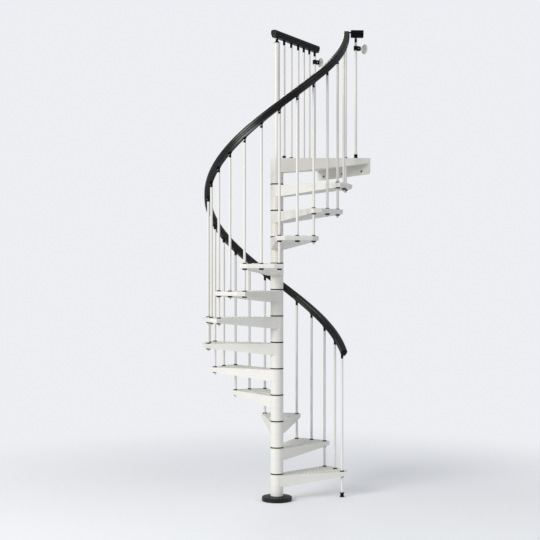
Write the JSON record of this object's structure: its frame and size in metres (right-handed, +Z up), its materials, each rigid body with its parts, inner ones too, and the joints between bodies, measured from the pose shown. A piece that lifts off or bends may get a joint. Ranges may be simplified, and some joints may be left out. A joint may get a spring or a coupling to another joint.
{
  "type": "spiral staircase",
  "caption": "Spiral staircase with steel treads on a central pole, tube balusters, a plastic handrail and a triangular landing bolted to the wall.",
  "frame": {"origin": "on the floor at the axis of the central pole", "axes": "+Z up, +Y towards the wall that carries the landing"},
  "size_m": [1.1987, 1.2261, 3.75],
  "materials": {
    "cream_powder_coat": "satin cream-white powder coat",
    "black_plastic": "fine satin moulded",
    "handrail_pvc": "satin extruded",
    "nut_plastic": "smooth",
    "zinc_plated_steel": "zinc plated"
  },
  "bodies": {
    "root": {"base_plate": "zinc_plated_steel", "base_cover": "black_plastic", "center_pole": "cream_powder_coat", "spacer_rings": "black_plastic", "tread_01": "cream_powder_coat", "tread_02": "cream_powder_coat", "tread_03": "cream_powder_coat", "tread_04": "cream_powder_coat", "tread_05": "cream_powder_coat", "tread_06": "cream_powder_coat", "tread_07": "cream_powder_coat", "tread_08": "cream_powder_coat", "tread_09": "cream_powder_coat", "tread_10": "cream_powder_coat", "tread_11": "cream_powder_coat", "tread_12": "cream_powder_coat", "landing_platform": "cream_powder_coat", "through_balusters": "cream_powder_coat", "mid_balusters": "cream_powder_coat", "upper_washers": "black_plastic", "lower_washers": "black_plastic", "baluster_end_nuts": "nut_plastic", "floor_foot": "black_plastic", "spiral_handrail": "handrail_pvc", "rail_connectors": "black_plastic", "landing_handrail": "handrail_pvc", "stub_handrail": "handrail_pvc", "rail_link": "black_plastic", "landing_balusters": "cream_powder_coat", "landing_baluster_feet": "black_plastic", "landing_rail_connectors": "black_plastic", "newel_cap": "black_plastic", "wall_clamps": "black_plastic", "wall_discs": "cream_powder_coat"}
  },
  "joints": []
}
